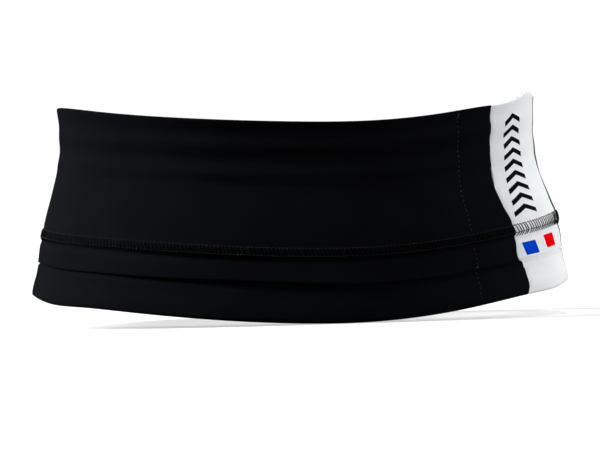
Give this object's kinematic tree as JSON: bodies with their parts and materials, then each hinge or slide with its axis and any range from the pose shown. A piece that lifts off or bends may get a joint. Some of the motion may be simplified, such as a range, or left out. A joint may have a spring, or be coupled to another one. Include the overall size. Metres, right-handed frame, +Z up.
{
  "type": "pull-on waist belt with pockets",
  "caption": "Pull-on stretch knit waist belt with open-topped pockets between a flared outer shell and a full lining, stitched along a flatlock seam.",
  "frame": {"origin": "bottom centre of the bounding box, on the surface that the hem stands on", "axes": "-Y towards the wearer's front, +X towards the wearer's left, where the white side panel is, +Z up"},
  "size_m": [0.3366, 0.1918, 0.1344],
  "materials": {
    "black_knit": "dense black warp knit of nylon and elastane with fine wales and a low sheen",
    "white_knit": "dense white warp knit of nylon and elastane, matte",
    "black_lining": "soft black lining knit, matte",
    "black_thread": "black polyester sewing thread, slight sheen",
    "grey_thread": "pale grey polyester sewing thread",
    "blue_print": "blue heat transfer film on knit",
    "red_print": "red heat transfer film on knit",
    "dark_print": "near-black heat transfer film on knit",
    "label_satin": "white satin label tape"
  },
  "bodies": {
    "root": {"front_shell": "black_knit", "side_shell": "white_knit", "back_shell": "black_knit", "front_hem_strip": "black_knit", "side_hem_strip": "white_knit", "back_hem_strip": "black_knit", "front_lower_band": "black_knit", "side_lower_band": "white_knit", "back_lower_band": "black_knit", "front_lining": "black_lining", "side_lining": "black_lining", "back_lining": "black_lining", "flatlock_needle_threads": "black_thread", "flatlock_cover_thread": "black_thread", "front_divider_stitches": "grey_thread", "rear_divider_stitches": "grey_thread", "left_divider_stitches": "grey_thread", "pocket_bartacks": "grey_thread", "front_panel_seam": "black_knit", "rear_panel_seam": "black_knit", "left_side_seam": "black_knit", "lining_seam_threads": "black_thread", "blue_block": "blue_print", "red_block": "red_print", "chevron_motif": "dark_print", "care_label": "label_satin"}
  },
  "joints": []
}
